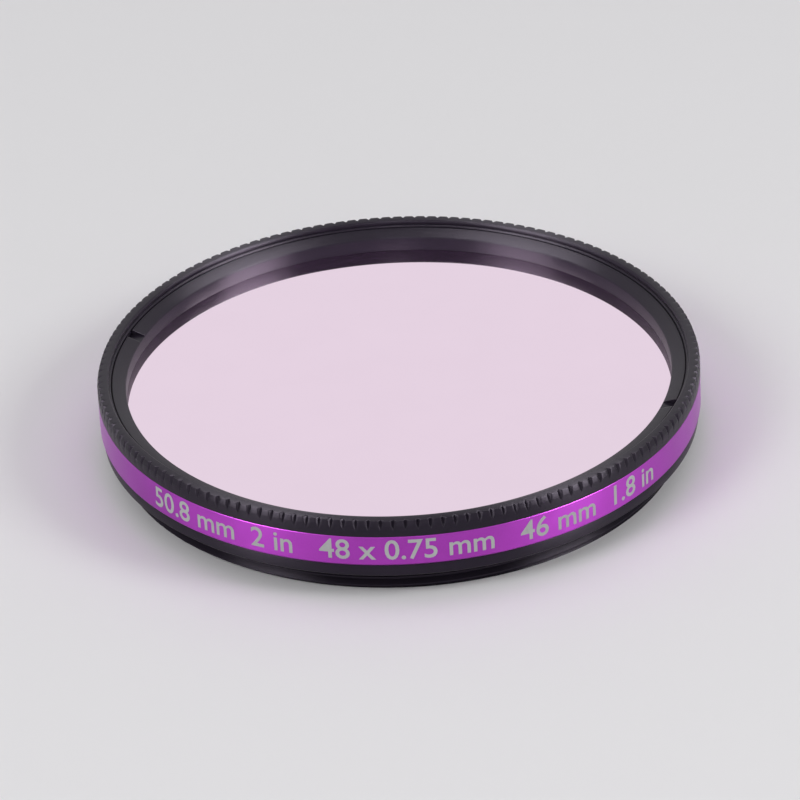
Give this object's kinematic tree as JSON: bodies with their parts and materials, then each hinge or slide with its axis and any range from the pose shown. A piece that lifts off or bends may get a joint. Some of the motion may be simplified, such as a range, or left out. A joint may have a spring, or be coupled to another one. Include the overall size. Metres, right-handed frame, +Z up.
{
  "type": "energy rejection filter",
  "caption": "Round mounted energy rejection filter for a 2 inch telescope thread: black threaded cell, purple band, toothed grip ring, slotted ring and mirror-coated glass disc.",
  "frame": {"origin": "centre of the male thread's end face, on the optical axis, which is the bottom of the part as it lies", "axes": "+Z up the optical axis, from the male thread to the toothed ring; +X to the right in the picture's view"},
  "size_m": [0.0508, 0.0508, 0.0074],
  "materials": {
    "black_anodised": "satin black anodised, finely bead blasted",
    "purple_anodised": "purple anodised, turned and satin, with pale engraved size marks",
    "coated_glass": "polished glass with a pale pinkish mirror-like interference coating"
  },
  "bodies": {
    "root": {"filter_cell": "black_anodised", "grip_ring": "black_anodised", "retaining_ring": "black_anodised", "color_band": "purple_anodised", "filter_glass": "coated_glass"}
  },
  "joints": []
}
